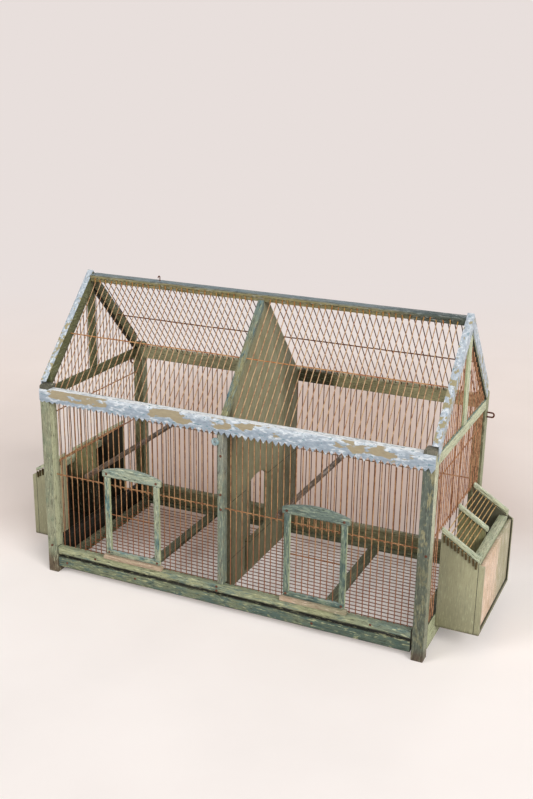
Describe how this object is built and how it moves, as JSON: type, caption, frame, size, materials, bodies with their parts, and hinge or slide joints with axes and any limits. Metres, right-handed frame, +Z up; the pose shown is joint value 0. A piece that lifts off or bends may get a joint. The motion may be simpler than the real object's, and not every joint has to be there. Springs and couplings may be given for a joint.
{
  "type": "bird cage",
  "caption": "House-shaped wood and wire breeding cage with a board partition, sliding front doors, a pull-out wire floor and feeder boxes on the ends.",
  "frame": {"origin": "on the ground under the middle of the cage's outer box", "axes": "+X along the cage to the right as seen from the doors, +Y from the front with the doors to the rear, +Z up"},
  "size_m": [0.842, 0.328, 0.5269],
  "materials": {
    "green_wood": "worn sage and teal paint over yellow-green, bare along the edges",
    "door_wood": "worn blue-green paint",
    "sage_wood": "matt sage paint with lighter edges",
    "olive_board": "matt olive paint",
    "floor_wood": "soiled dull green wood",
    "pale_blue_strip": "peeling pale blue paint over ochre",
    "ridge_wood": "peeling blue-grey paint with an ochre lower edge",
    "rusty_wire": "rusted drawn wire",
    "dark_iron": "dark rusted iron",
    "perch_wood": "grey-brown bare wood, rubbed smooth",
    "bare_wood": "bare weathered wood with traces of green paint",
    "disc_paint": "chipped blue-green paint"
  },
  "bodies": {
    "frame": {"post_front_left": "green_wood", "post_front_right": "green_wood", "post_rear_left": "green_wood", "post_rear_right": "green_wood", "front_rail": "green_wood", "rear_board": "green_wood", "end_board_left": "green_wood", "end_board_right": "green_wood", "front_eave_rail": "green_wood", "rear_eave_rail": "green_wood", "tie_beam_left": "green_wood", "tie_beam_right": "green_wood", "king_post_left": "green_wood", "king_post_right": "green_wood", "rafters_left": "green_wood", "rafters_right": "green_wood", "centre_post": "green_wood", "partition_cap": "green_wood", "floor_runners": "green_wood", "shutter_guides": "green_wood", "eave_trim": "pale_blue_strip", "rake_trims_left": "pale_blue_strip", "rake_trims_right": "pale_blue_strip", "ridge_rail": "ridge_wood", "ridge_trim": "ridge_wood", "partition_board": "olive_board", "feeder_side_panels": "sage_wood", "feeder_dividers": "sage_wood", "feeder_floors": "sage_wood", "feeder_battens": "sage_wood", "front_wires": "rusty_wire", "rear_wires": "rusty_wire", "roof_wires_front": "rusty_wire", "roof_wires_rear": "rusty_wire", "roof_cross_wires": "rusty_wire", "end_wires_left": "rusty_wire", "end_wires_right": "rusty_wire", "end_cross_wires": "rusty_wire", "main_wires": "rusty_wire", "feeder_wires": "rusty_wire", "hanging_staples": "dark_iron", "ridge_hook": "dark_iron", "perches": "perch_wood", "door_sills": "bare_wood", "disc": "disc_paint"},
    "door_left": {"door_left_stiles": "door_wood", "door_left_top_rail": "door_wood", "door_left_bottom_rail": "door_wood", "door_left_wires": "rusty_wire"},
    "door_right": {"door_right_stiles": "door_wood", "door_right_top_rail": "door_wood", "door_right_bottom_rail": "door_wood", "door_right_wires": "rusty_wire"},
    "floor": {"floor_front_rail": "green_wood", "floor_bars": "floor_wood", "floor_wires": "rusty_wire"},
    "shutter": {"shutter": "olive_board"},
    "feeder_board_left": {"feeder_board_left": "bare_wood"},
    "feeder_board_right": {"feeder_board_right": "bare_wood"}
  },
  "joints": [
    {"name": "door_left_lift", "type": "slide", "parent": "frame", "child": "door_left", "axis": [0, 0, 1], "range_m": [0, 0.08]},
    {"name": "door_right_lift", "type": "slide", "parent": "frame", "child": "door_right", "axis": [0, 0, 1], "range_m": [0, 0.08]},
    {"name": "floor_pull", "type": "slide", "parent": "frame", "child": "floor", "axis": [0, -1, 0], "range_m": [0, 0.25]},
    {"name": "shutter_slide", "type": "slide", "parent": "frame", "child": "shutter", "axis": [0, 1, 0], "range_m": [-0.007, 0.057]},
    {"name": "feeder_left_lift", "type": "slide", "parent": "frame", "child": "feeder_board_left", "axis": [0, 0, 1], "range_m": [0, 0.1]},
    {"name": "feeder_right_lift", "type": "slide", "parent": "frame", "child": "feeder_board_right", "axis": [0, 0, 1], "range_m": [0, 0.1]}
  ]
}
